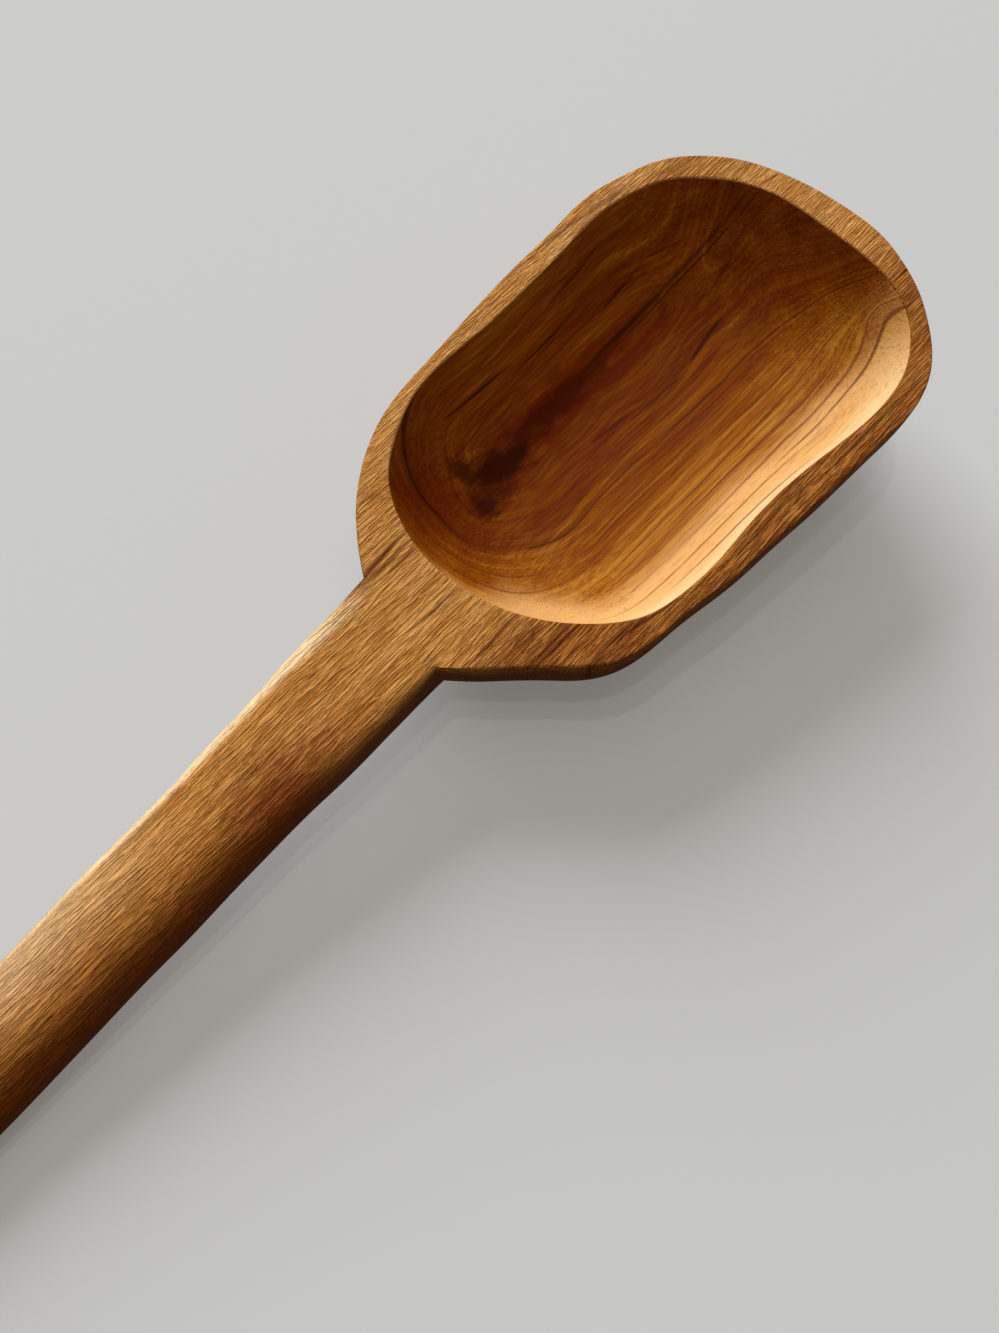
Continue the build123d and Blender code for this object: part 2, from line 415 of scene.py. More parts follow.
@dataclass
class CarvedSpoon:
    """The spoon in one piece of wood: handle, hull, land of the rim and hollow, each a grid of points.

    Sizes are in millimetres, and rows and columns count points of the grids. A wave of the arris is its
    height, turn to a column and phase. The gouge's drift is a wave's height, turns round the hollow and
    phase, and its slant a turn down the wall, then a wave's height, turn down and turns round. Its fade is
    how soon it ends on the way down, and a power. The fade powers say how fast the window's edge gives way
    to the handle's own form, along, across and in depth.
    """

    lie: Lie = field(default_factory=Lie)
    outline: Rows = RIGHT_AND_LEFT_OUTLINE
    hollow_outline: Rows = HOLLOW_OUTLINE
    growth: GrowthField = GrowthField(GROWTH_LINES)
    middle: Row = (57, 0)
    squeeze: Row = (0.55, 1)
    handle_length: float = 121.5
    tail_rounding: float = 8.5
    tail_power: float = 2.2
    tail_flattening: float = 0.7
    belly_share: float = 0.55
    neck_run: float = 12.0
    window_fade: float = 9.0
    fade_powers: Row = (2, 2, 3.2)
    outer_easing: float = 0.55
    arris_waves: Rows = ((0.14, 0.071, 0), (0.08, 0.19, 1))
    inner_easing: float = 0.32
    gouge_depth: float = 0.09
    gouge_cuts_round: int = 31
    gouge_drift: Row = (1.3, 3, 0.8)
    gouge_slant: Row = (2.6, 0.7, 9, 2)
    gouge_fade: Row = (1.9, 0.8)
    weld: float = 0.002
    least_edge: float = 0.0001
    bowl_columns: int = 468
    neck_columns: int = 28
    easing_columns: int = 14
    dense_columns: int = 3000
    wrap: int = 5
    window_row: int = 13
    hull_rows: int = 42
    arris_rows: int = 6
    land_rows: int = 9
    hollow_rows: int = 46
    neck_rows: int = 26
    shaft_rows: int = 140
    tail_rows: int = 25
    hull: Levels = Levels(
        23, 0, 108.5,
        (
            (0.00, 0.000, 1.000, 1.000), (0.26, 0.000, 0.988, 0.985), (0.46, 0.032, 0.957, 0.92),
            (0.66, 0.095, 0.902, 0.79), (0.83, 0.165, 0.835, 0.61), (0.94, 0.235, 0.765, 0.42),
            (0.988, 0.3, 0.7, 0.24), (1.00, 0.5, 0.5, 0.000),
        ),
    )
    hollow: Levels = Levels(
        15.6, 11.3, 91.8,
        (
            (0.00, 0.000, 1.000, 1.000), (0.26, 0.022, 0.979, 0.95), (0.52, 0.055, 0.946, 0.875),
            (0.75, 0.105, 0.9, 0.76), (0.91, 0.175, 0.835, 0.58), (0.985, 0.28, 0.735, 0.34),
            (1.00, 0.5, 0.5, 0.000),
        ),
    )

    def rim_columns(self) -> np.ndarray:
        """Follow the outer rim: the bowl from right shoulder to left, then back along the neck line.

        Returns:
            The points, columns by 2.
        """
        bowl = even_curve(np.array(self.outline), self.bowl_columns)
        share = np.linspace(0, 1, self.neck_columns)[1:-1, None]
        return np.concatenate([bowl, bowl[-1] + share * (bowl[0] - bowl[-1])])

    def hollow_columns(self, rim: np.ndarray) -> np.ndarray:
        """Return the point of the hollow's outline in line with each rim point.

        Both outlines are read as radius against angle about the bowl's middle, with the length squeezed so
        that the angles spread evenly.

        Args:
            rim: The outer rim's points, columns by 2.

        Returns:
            The hollow's points, columns by 2.
        """
        dense = even_curve(np.array(self.hollow_outline), self.dense_columns, self.wrap)
        dense = (dense - self.middle) * self.squeeze
        outer = (rim - self.middle) * self.squeeze
        known = np.array(sorted(zip(np.arctan2(dense[:, 1], dense[:, 0]), np.hypot(*dense.T)))).T
        wanted = np.arctan2(outer[:, 1], outer[:, 0])
        radius = np.interp(wanted, *known, period=2 * np.pi)[:, None]
        return np.stack([np.cos(wanted), np.sin(wanted)], axis=1) * radius / self.squeeze + self.middle

    def arris_radius(self) -> np.ndarray:
        """Work out how far the outer arris is eased: not at the neck, then about 0.5 mm.

        Returns:
            The radius at each rim point.
        """
        place = np.arange(self.bowl_columns)
        wander = sum(height * np.sin(place * turn + phase) for height, turn, phase in self.arris_waves)
        near_neck = np.minimum(place, place[::-1]) / self.easing_columns
        radius = smooth_step(near_neck) * (self.outer_easing + wander)
        return np.concatenate([radius, np.zeros(self.neck_columns - 2)])

    def gouge_cuts(self, hollow: np.ndarray) -> np.ndarray:
        """Return how much deeper each point of the hollow is cut by the gouge.

        The cuts run down the wall side by side, each an arch in section, and shift a little with depth.
        They fade out at the rim and on the floor.

        Args:
            hollow: The smooth hollow, rows by columns by 3.

        Returns:
            What to add to the depth, rows by columns.
        """
        rows, columns = hollow.shape[:2]
        turn = np.arange(columns)[None] / columns * 2 * np.pi
        down = np.linspace(0, 1, rows)[:, None]
        height, turns, phase = self.gouge_drift
        lean, sway, turn_down, turns_round = self.gouge_slant
        drift = height * np.sin(turns * turn + phase)
        slant = lean * down + sway * np.sin(turn_down * down + turns_round * turn)
        arch = 1 - np.abs(np.sin(self.gouge_cuts_round * turn + drift + slant))
        speed, power = self.gouge_fade
        fade = np.sin(np.pi * np.clip(down * speed, 0, 1)) ** power
        return -self.gouge_depth * arch * fade

    def wall(self, levels: Levels, rows: int, edge: np.ndarray, land: np.ndarray,
             radius: np.ndarray) -> tuple[np.ndarray, np.ndarray]:
        """Carry an edge of the rim down its wall, and ease the arris between the rim's land and the wall.

        Args:
            levels: The wall's form.
            rows: How many rows the wall has.
            edge: The sharp edge, columns by 2.
            land: The way from the edge onto the land, columns by 2.
            radius: How far the arris is eased, columns by 1.

        Returns:
            The wall and the arris, each rows by columns by 3, both downwards.
        """
        level = np.zeros((len(edge), 1))
        start = radius[:, 0] / levels.wall_length()
        down = np.linspace(0, 1, rows)[:, None]
        wall = levels.surface(edge, start + (1 - start) * down)
        on_land, corner = np.hstack([edge + land * radius, level]), np.hstack([edge, level])
        return wall, bezier(on_land, corner, wall[0], np.linspace(0, 1, self.arris_rows))

    def bowl_grids(self) -> tuple[np.ndarray, np.ndarray, int]:
        """Make the grids of the bowl.

        Returns:
            The hull, the land with the hollow, and the row of that grid where the hollow starts.
        """
        rim = self.rim_columns()
        inner = self.hollow_columns(rim)
        inwards = (inner - rim) / np.linalg.norm(inner - rim, axis=1, keepdims=True)
        outer_radius = self.arris_radius()[:, None]
        inner_radius = np.full_like(outer_radius, self.inner_easing)
        hull, outer_arris = self.wall(self.hull, self.hull_rows, rim, inwards, outer_radius)
        hollow, inner_arris = self.wall(self.hollow, self.hollow_rows, inner, -inwards, inner_radius)
        hollow[..., 2] += self.gouge_cuts(hollow)
        share = np.linspace(0, 1, self.land_rows)[:, None, None]
        land = outer_arris[0] + share * (inner_arris[0] - outer_arris[0])
        top = np.concatenate([outer_arris[::-1], land[1:], inner_arris[1:], hollow[1:]])
        return hull, top, self.arris_rows + self.land_rows + self.arris_rows // 2

    def handle_stations(self) -> np.ndarray:
        """Space the handle's sections, close at the neck and tail.

        Returns:
            How far behind the neck each one lies.
        """
        shaft_end = self.handle_length - self.tail_rounding
        tail = 1 - np.sin(np.linspace(0, np.pi / 2, self.tail_rows))
        neck = np.linspace(0, self.neck_run, self.neck_rows)[:-1]
        shaft = np.linspace(self.neck_run, shaft_end, self.shaft_rows)[:-1]
        return np.concatenate([neck, shaft, self.handle_length - self.tail_rounding * tail])

    def handle_grid(self, hull: np.ndarray) -> np.ndarray:
        """Return the handle as sections from the neck to the tail, each a closed loop.

        A section is a superellipse on each side of its widest line: the top and underside give depth over
        the place across, and the walls the place across over depth. The first section is the edge of the
        window that the handle fills in the hull, and the difference fades out along the neck.

        Args:
            hull: The hull, rows by columns by 3.

        Returns:
            The handle, sections by points of a loop by 3.
        """
        station = self.handle_stations()
        table = np.array(HANDLE_SECTIONS)
        sections = natural_spline(table[:, 0], table[:, 1:], station)
        half, thick, drop, centre, top_power, low_power = sections.T[:, :, None]
        high, low = self.belly_share * thick, (1 - self.belly_share) * thick
        top_corner, low_corner = 0.5 ** (1 / top_power), 0.5 ** (1 / low_power)

        over = np.linspace(-1, 1, self.neck_columns)
        top_y, low_y = over * top_corner, over[::-1] * low_corner
        fall = np.linspace(1, -1, self.window_row + 1)[1:-1]
        upper, lower = np.clip(fall, 0, 1) * top_corner, np.clip(-fall, 0, 1) * low_corner
        wall_y = np.where(fall > 0, superellipse(upper, top_power), superellipse(lower, low_power))
        wall_z = upper * high - lower * low
        top_z, low_z = superellipse(top_y, top_power) * high, -superellipse(low_y, low_power) * low
        y = np.concatenate([top_y, wall_y, low_y, -wall_y[:, ::-1]], axis=1) * half
        z = np.concatenate([top_z, wall_z, low_z, wall_z[:, ::-1]], axis=1)

        tail = np.clip((station - self.handle_length) / self.tail_rounding + 1, 0, 1)
        shrink = superellipse(tail, self.tail_power)[:, None]
        depth = drop + self.belly_share * thick - z * shrink**self.tail_flattening
        along = np.broadcast_to(-station[:, None], y.shape)
        handle = np.stack([along, centre + y * shrink, depth], axis=-1)
        fade = np.clip(1 - station / self.window_fade, 0, 1)[:, None, None] ** self.fade_powers
        return handle + (self.window_edge(hull) - handle[0]) * fade

    def window_edge(self, hull: np.ndarray) -> np.ndarray:
        """Go round the window in the hull: top left to right, down, underside back, and up.

        Args:
            hull: The hull, rows by columns by 3.

        Returns:
            The points of the loop, by 3.
        """
        last, wall = self.bowl_columns - 1, self.window_row
        neck = np.r_[last, np.arange(self.bowl_columns, len(hull[0])), 0]
        sides = hull[1:wall, 0], hull[wall - 1 : 0 : -1, last]
        return np.concatenate([hull[0, neck], sides[0], hull[wall, neck[::-1]], sides[1]])

    def hand_wander(self, points: np.ndarray) -> np.ndarray:
        """Move points by the unevenness of hand work, 0.05 mm over 12 to 40 mm.

        Args:
            points: The points, in an array of any form.

        Returns:
            The moved points, in the same form.
        """
        height, *turns, phase = np.moveaxis(np.array(HAND_WANDER), -1, 0)
        swing = np.sin(np.tensordot(points, np.array(turns), 1) + phase)
        return points + (height * swing).sum(axis=-1)

    def build(self) -> bpy.types.Object:
        """Join the grids into one closed mesh whose points know their growth layer and the hollow.

        Returns:
            The spoon.
        """
        hull, top, first_of_hollow = self.bowl_grids()
        window = np.zeros((hull.shape[0] - 1, hull.shape[1]), bool)
        window[: self.window_row, self.bowl_columns - 1 :] = True
        in_hollow = np.zeros(top.shape[:2])
        in_hollow[first_of_hollow:] = 1
        vertices, faces, shares, base = [], [], [], 0
        for grid, hole, share in (
            (hull, window, 0.0), (top, None, in_hollow), (self.handle_grid(hull), None, 0.0),
        ):
            rows, wide = grid.shape[:2]
            index = base + np.arange(rows * wide).reshape(rows, wide)
            beside = np.roll(index, -1, 1)
            quads = np.stack([index[:-1], index[1:], beside[1:], beside[:-1]], axis=-1)
            faces.append(quads.reshape(-1, 4) if hole is None else quads[~hole])
            vertices.append(self.hand_wander(grid).reshape(-1, 3))
            shares.append(np.broadcast_to(share, (rows, wide)).ravel())
            base += rows * wide
        points = np.concatenate(vertices)
        place = self.lie.to_row(points)
        place[:, 2] = np.maximum(place[:, 2], 0)
        mesh = bpy.data.meshes.new("carved_spoon")
        mesh.from_pydata(place, [], np.concatenate(faces))
        for name, values in (("hollow", np.concatenate(shares)), ("layer", self.growth.at(points[:, :2]))):
            mesh.attributes.new(name, "FLOAT", "POINT").data.foreach_set("value", values.astype(np.float32))
        work = bmesh.new()
        work.from_mesh(mesh)
        bmesh.ops.remove_doubles(work, verts=work.verts, dist=self.weld * MM)
        bmesh.ops.dissolve_degenerate(work, edges=work.edges, dist=self.least_edge * MM)
        bmesh.ops.recalc_face_normals(work, faces=work.faces)
        work.to_mesh(mesh)
        work.free()
        mesh.shade_smooth()
        return added("carved_spoon", mesh)


def node_sum(operation: str, swapped: bool = False) -> Callable[[Wire, Value], Wire]:
    """Make a wire's method for a sum with another value.

    Args:
        operation: The sum, as the maths node names it.
        swapped: Whether the other value comes first.

    Returns:
        The method.
    """

    def work_out(wire: Wire, other: Value) -> Wire:
        """Return the sum, from a new node."""
        return wire.sheet.math(operation, *((other, wire) if swapped else (wire, other)))

    return work_out


@dataclass(frozen=True)
class Wire:
    """What comes out of a node. A sum with numbers or other wires adds the node that works it out."""

    sheet: Sheet
    socket: bpy.types.NodeSocket
    __add__ = node_sum("ADD")
    __sub__ = node_sum("SUBTRACT")
    __rsub__ = node_sum("SUBTRACT", swapped=True)
    __mul__ = node_sum("MULTIPLY")
    __truediv__ = node_sum("DIVIDE")
    __pow__ = node_sum("POWER")

    def spread(self, start: float, end: float, low: float = 0.0, high: float = 1.0) -> Wire:
        """Return the value carried smoothly from one range to another, and held at its ends."""
        inputs = {"Value": self, "From Min": start, "From Max": end, "To Min": low, "To Max": high}
        return self.sheet.take("MapRange", inputs, interpolation_type="SMOOTHSTEP")


Value = float | tuple[float, ...] | Wire


@dataclass(frozen=True)
class Noise:
    """A noise pattern: waves to a unit on each axis, shift, detail, roughness, distortion and spread."""

    waves: tuple[float, float, float]
    shift: float = 0.0
    detail: float = 2.0
    roughness: float = 0.5
    distortion: float = 0.0
    spread: Row = ()


class Sheet:
    """A node tree with short ways to add nodes and join them."""

    def __init__(self, tree: bpy.types.NodeTree) -> None:
        """Keep the tree."""
        self.tree = tree

    def put(self, socket: bpy.types.NodeSocket, value: Value) -> None:
        """Join a socket to a wire, or set its plain value, where a colour is opaque.

        Args:
            socket: The input to fill.
            value: What it takes.
        """
        if isinstance(value, Wire):
            self.tree.links.new(value.socket, socket)
        else:
            socket.default_value = (*value, 1.0) if socket.type == "RGBA" else value

    def node(self, kind: str, inputs: dict[str | int, Value], **settings: object) -> bpy.types.Node:
        """Add a node.

        Args:
            kind: The node's type, without the word that they all start with.
            inputs: Values or wires for its inputs, by name or number.
            **settings: The node's own settings.

        Returns:
            The new node.
        """
        node = self.tree.nodes.new("ShaderNode" + kind)
        for name, setting in settings.items():
            setattr(node, name, setting)
        for key, value in inputs.items():
            self.put(node.inputs[key], value)
        return node

    def take(self, kind: str, inputs: dict[str | int, Value], output: str | int = 0,
             **settings: object) -> Wire:
        """Add a node as node() does, and return one of its outputs."""
        return Wire(self, self.node(kind, inputs, **settings).outputs[output])

    def placed(self, effect: Effect, *values: Value) -> dict[str, Wire]:
        """Place a shared effect.

        Args:
            effect: The effect.
            *values: Its inputs, in their order.

        Returns:
            Its outputs by name.
        """
        node = self.node("Group", {}, node_tree=effect.tree)
        for socket, value in zip(node.inputs, values):
            self.put(socket, value)
        return {socket.name: Wire(self, socket) for socket in node.outputs}

    def math(self, operation: str, *values: Value, clamp: bool = False) -> Wire:
        """Return the result of a sum on numbers, kept between 0 and 1 on request."""
        return self.take("Math", dict(enumerate(values)), operation=operation, use_clamp=clamp)

    def most(self, *values: Value) -> Wire:
        """Return the largest of some numbers."""
        return reduce(lambda first, second: self.math("MAXIMUM", first, second), values)

    def vector(self, operation: str, *values: Value) -> Wire:
        """Return the result of a sum on vectors."""
        return self.take("VectorMath", dict(enumerate(values)), operation=operation)

    def noise(self, place: Value, pattern: Noise, output: str = "Fac") -> Wire:
        """Return a noise at a place.

        Args:
            place: Where the noise is read.
            pattern: Its form.
            output: Fac for its value, Color for three values.

        Returns:
            The noise.
        """
        inputs = {"Vector": place, "Scale": pattern.waves, "Location": (pattern.shift,) * 3}
        inputs = {
            "Vector": self.take("Mapping", inputs), "Scale": 1.0, "Detail": pattern.detail,
            "Roughness": pattern.roughness, "Distortion": pattern.distortion,
        }
        noise = self.take("TexNoise", inputs, output, noise_dimensions="3D", normalize=True)
        return noise.spread(*pattern.spread) if pattern.spread else noise

    def between(self, share: Value, first: Value, second: Value) -> Wire:
        """Return a number between two, by a share."""
        return self.take("Mix", {0: share, 2: first, 3: second}, data_type="FLOAT")

    def coated(self, base: Value, *coats: tuple[Value, Value]) -> Wire:
        """Cover a colour with coats of others.

        Args:
            base: The colour underneath.
            *coats: The share that each coat covers, with its colour, from the lowest up.

        Returns:
            The colour on top.
        """
        for share, colour in coats:
            base = self.take("Mix", {0: share, 6: base, 7: colour}, 2, data_type="RGBA", blend_type="MIX")
        return base

    def shades(self, value: Value, stops: Stops) -> Wire:
        """Read a colour from a row of stops.

        Args:
            value: Where it is read.
            stops: Places with their colours, in order.

        Returns:
            The colour.
        """
        node = self.node("ValToRGB", {0: value})
        ramp = node.color_ramp
        while len(ramp.elements) < len(stops):
            ramp.elements.new(1.0)
        for element, (place, colour) in zip(ramp.elements, stops):
            element.position, element.color = place, (*colour, 1.0)
        return Wire(self, node.outputs[0])

    def seen_or_mirrored(self) -> Wire:
        """Tell what the camera sees, straight, mirrored or through glass, from other light.

        Returns:
            1 where it is seen, and 0 elsewhere.
        """
        path = self.node("LightPath", {}).outputs
        rays = ("Is Camera Ray", "Is Glossy Ray", "Is Transmission Ray")
        return self.most(*(Wire(self, path[ray]) for ray in rays))


class Effect(Sheet):
    """A node group: an effect that finishes place with their own values."""

    def __init__(self, name: str, inputs: tuple[str, ...], kind: str = "NodeSocketFloat") -> None:
        """Start the group with its inputs, all of one kind.

        Args:
            name: The group's name.
            inputs: The names of its inputs, in order.
            kind: What they carry.
        """
        super().__init__(bpy.data.node_groups.new(name, "ShaderNodeTree"))
        for input_name in inputs:
            self.tree.interface.new_socket(input_name, in_out="INPUT", socket_type=kind)
        entry = self.tree.nodes.new("NodeGroupInput")
        self.at = {socket.name: Wire(self, socket) for socket in entry.outputs if socket.name}
        self.exit = self.tree.nodes.new("NodeGroupOutput")

    def give(self, name: str, value: Wire) -> None:
        """Add an output that carries a number."""
        self.tree.interface.new_socket(name, in_out="OUTPUT", socket_type="NodeSocketFloat")
        self.put(self.exit.inputs[name], value)


@dataclass
class GrainKit:
    """The effects of the wood that its finish places, each a node group built once, at its first use."""

    broad: Noise = Noise((0.016, 0.3, 0.4), 0, 3)
    fine: Noise = Noise((0.1, 2.4, 2.4), 7, 3, 0.6)
    pores: Noise = Noise((0.2, 3.6, 3.6), 21, 1, spread=(0.6, 0.72))
    ridges: Noise = Noise((0.25, 3, 3), 3, 3, 0.5, 0.45, (0.34, 0.66))
    scratches: Noise = Noise((0.1, 2.6, 0.05), 11, 2, 0.6)
    scratch_angle: float = 52.0
    taper_power: float = 0.4
    line_core: float = 0.8
    least_width: float = 0.001

    @cached_property
    def line(self) -> Effect:
        """One tapering line: dark where Across is near the line's own place, between Start and End."""
        names = ("Along", "Across", "Start", "End", "At Start", "At End", "Width", "Strength")
        effect = Effect("grain_line", names)
        at = effect.at
        run = {"Value": at["Along"], "From Min": at["Start"], "From Max": at["End"]}
        share = effect.take("MapRange", run)
        middle = effect.take("MapRange", {0: share, "To Min": at["At Start"], "To Max": at["At End"]})
        gap = effect.math("ABSOLUTE", at["Across"] - middle)
        taper = (share * (1.0 - share) * 4.0) ** self.taper_power
        near = effect.math("SUBTRACT", 1.0, gap / (taper * at["Width"] + self.least_width), clamp=True)
        effect.give("Mask", near.spread(0.0, self.line_core) * at["Strength"] * taper)
        return effect

    @cached_property
    def blot(self) -> Effect:
        """One soft patch: the mask falls off with the distance from its middle, pushed by Ragged."""
        names = ("Along", "Across", "Ragged", "Softness", "Middle Along", "Middle Across", "Half Length",
                 "Half Width", "Strength")
        effect = Effect("soft_blot", names)
        at = effect.at
        x = (at["Along"] - at["Middle Along"]) / at["Half Length"]
        y = (at["Across"] - at["Middle Across"]) / at["Half Width"]
        reach = effect.math("SQRT", x**2.0 + y**2.0) + at["Ragged"]
        effect.give("Mask", ((1.0 - reach) / at["Softness"]).spread(0.0, 1.0) * at["Strength"])
        return effect

    @cached_property
    def fibre(self) -> Effect:
        """The fibres along the grain: a broad tone, a fine tone, dark pores and raised ridges."""
        effect = Effect("wood_fibre", ("Place",), "NodeSocketVector")
        place = effect.at["Place"]
        effect.give("Broad", effect.noise(place, self.broad))
        effect.give("Fine", effect.noise(place, self.fine))
        effect.give("Pores", effect.noise(place, self.pores))
        effect.give("Ridges", effect.noise(place, self.ridges))
        return effect

    @cached_property
    def scratch(self) -> Effect:
        """Fine scratches of the scraper, in lines across the grain at an angle."""
        effect = Effect("scraper_scratches", ("Place",), "NodeSocketVector")
        turn = (0.0, 0.0, np.radians(self.scratch_angle))
        turned = effect.take("Mapping", {"Vector": effect.at["Place"], "Rotation": turn})
        effect.give("Mask", effect.noise(turned, self.scratches))
        return effect


@dataclass(frozen=True)
class Zone:
    """A part of the wood that is finished alike: the product of smooth steps, times its share.

    A step is given as Wire.spread takes it, in millimetres along to the tip, across to the right, or in
    depth under the rim. The floor is a second step in depth, where the zone ends.
    """

    along: Row = ()
    across: Row = ()
    depth: Row = ()
    floor: Row = ()
    share: float = 1.0


@dataclass(frozen=True)
class Spot:
    """What the finish reads at a point of the wood: its place from the rim, side, layer and fibres."""

    sheet: Sheet
    place: Wire
    along: Wire
    across: Wire
    depth: Wire
    hollow: Wire
    layer: Wire
    fibre: dict[str, Wire]

    def within(self, zone: Zone, across: Wire | None = None) -> Wire:
        """Return how far the spot is inside a zone.

        Args:
            zone: The zone.
            across: The place across, where it isn't the spot's own.

        Returns:
            0 outside the zone, rising to its share.
        """
        places = (self.along, across or self.across, self.depth, self.depth)
        steps = (zone.along, zone.across, zone.depth, zone.floor)
        found = [place.spread(*step) for place, step in zip(places, steps) if step]
        return reduce(lambda first, second: first * second, found) * zone.share

    def by_side(self, outside: float, inside: float) -> Wire:
        """Return one number outside, and another in the hollow."""
        return self.sheet.between(self.hollow, outside, inside)


@dataclass(frozen=True)
class OiledWood:
    """The finish of the spoon: a knotty hollow, scraped and oiled, in a dry and fuzzy knife-cut outside.

    The pairs roughness, pore_shares, ridge_relief and fine_relief are for the outside and for the hollow.
    The mixes are shares of the growth bands, the broad and the fine fibres in the tone.
    """

    lie: Lie = field(default_factory=Lie)
    top_shades: Stops = (
        (0.3, (0.27, 0.093, 0.014)), (0.48, (0.455, 0.188, 0.037)), (0.68, (0.59, 0.28, 0.078)),
    )
    heart_shades: Stops = ((0.36, (0.13, 0.026, 0.002)), (0.64, (0.38, 0.13, 0.02)))
    hollow_shades: Stops = (
        (0.36, (0.13, 0.021, 0.0012)), (0.5, (0.235, 0.062, 0.0016)), (0.64, (0.4, 0.163, 0.016)),
    )
    # Painted shade: the dark brown laid over the side walls and the handle's right half.
    painted_shade_brown: Colour = (0.13, 0.026, 0.002)
    # Pale sapwood of the lip, which also stands in for the highlight on the right wall's top.
    sapwood_and_highlight: Colour = (0.66, 0.445, 0.21)
    amber: Colour = (0.58, 0.3, 0.098)
    # Painted highlight: the cream laid on edges that face the window.
    edge: Colour = (0.84, 0.6, 0.32)
    haze: Colour = (0.135, 0.014, 0.001)
    line_red: Colour = (0.105, 0.02, 0.0022)
    line_dark: Colour = (0.042, 0.006, 0.0008)

    top_mix: Row = (0.6, 0.35)
    ridge_tone: Row = (0, 1, -0.04, 0.14)
    hollow_mix: Row = (0.45, 0.25, 0.3)
    layer_tone: Row = (8, 30, -0.08, 0.06)
    bands: Noise = Noise((1, 0.85, 1), 0, 4, 0.6)
    band_stretch: float = 0.02
    wander: Noise = Noise((0.035, 0.1, 0.1))
    wander_width: float = 1.1
    blot_edge: Noise = Noise((0.22, 0.42, 1), 0, 3, 0.6)
    blot_raggedness: float = 1.7
    breaks: Noise = Noise((0.1, 1.3, 1), 5, spread=(0.3, 0.52, 0.4, 1))
    fades: Noise = Noise((0.09, 0.09, 1), 2, 1, spread=(0.3, 0.5, 0.45, 1))
    lean: float = 0.32
    lean_depth: float = 15.0

    heart_edge: Row = (7, 19)
    heart_bend: Row = (-34, 4, 11, 0)
    heart_wander: float = 22.0
    heart_cover: float = 0.9
    # The side walls take the heart's colour, partly as deeper oiled wood and partly as painted shade, then
    # a further painted shade.
    painted_side_shade: float = 0.65
    sides: Zone = Zone(across=(-8, 2, 0.45, 1), depth=(0.6, 3))
    handle_drift: Row = (-10, -85, 0, 1.2)
    # Painted shade on the right half of the handle, which faces away from the window.
    painted_handle_shade: Zone = Zone((-4, -34), (2, 7), share=0.6)
    # Painted highlights in the edge colour: the handle's left arris and the left of its tail, which face
    # the window, and the wall under the bowl's left rim.
    arris: Zone = Zone((5, -12), (-6.2, -7.4), (5.2, 2), share=0.95)
    painted_tail_highlight: Zone = Zone((-34, -66), (3, -6), (5.2, 2), share=0.4)
    painted_brim_highlight: Zone = Zone((), (-9, -14), (0.1, 0.8), (4.5, 1.2), 0.8)

    # Painted light in the hollow's tone: lighter on the right wall, which faces the window, and on the
    # shaded left wall. The heel is darker as a painted shade of the left wall.
    painted_light_right_wall: Zone = Zone((), (14, 24), (13, 3), share=0.04)
    painted_light_left_wall: Zone = Zone((), (-17, -25), share=0.05)
    heel: Zone = Zone((31, 18), (5, -3), share=0.08)
    streaks: Row = (0.4, 0.56, 0.45, 1.05)
    foot_drift: Row = (78, 92, 0, 3.2)
    foot: Zone = Zone((104, 86), (14.5, 20.5), (15.2, 11.5))
    # The lip's pale coat is partly sapwood and partly a painted highlight on the top of the right wall.
    lip: Zone = Zone((98, 80, 0.1, 1), (12, 19), (9.5, 2))
    heel_rise: Zone = Zone((32, 22), (0, 10), (13.5, 9), share=0.9)
    heel_rim: Zone = Zone((26, 15), (-9, 1), (5.5, 1), share=0.4)

    roughness: Row = (0.62, 0.46)
    fine_roughness: float = 0.25
    line_roughness: float = 0.1
    specular: float = 0.03
    pore_shares: Row = (0.22, 0.35)
    ridge_relief: Row = (1, 0.13)
    fine_relief: Row = (0.45, 0.34)
    scratched: Row = (66, 92, 0.06, 0.32)
    line_groove: float = 0.25
    pore_depth: float = 0.12
    relief_height: float = 0.00032

    def material(self, kit: GrainKit) -> bpy.types.Material:
        """Build the finish.

        Args:
            kit: The shared effects.

        Returns:
            The material.
        """
        material = bpy.data.materials.new("oiled_wood")
        material.use_nodes = True
        sheet = Sheet(material.node_tree)
        spot = self.spot(sheet, kit)
        marks = self.marks(spot, kit)
        colour = sheet.coated(
            self.outside(spot),
            (spot.hollow, self.inside(spot)),
            (marks[Tone.HAZE], self.haze),
            (marks[Tone.RED], self.line_red),
            (marks[Tone.DARK], self.line_dark),
            (spot.fibre["Pores"] * spot.by_side(*self.pore_shares), self.line_red),
        )
        rough = spot.by_side(*self.roughness) + (spot.fibre["Fine"] - 0.5) * self.fine_roughness
        inputs = material.node_tree.nodes["Principled BSDF"].inputs
        sheet.put(inputs["Base Color"], colour)
        sheet.put(inputs["Roughness"], rough + marks[Tone.DARK] * self.line_roughness)
        sheet.put(inputs["Specular IOR Level"], self.specular)
        sheet.put(inputs["Normal"], self.relief(spot, kit, marks))
        return material

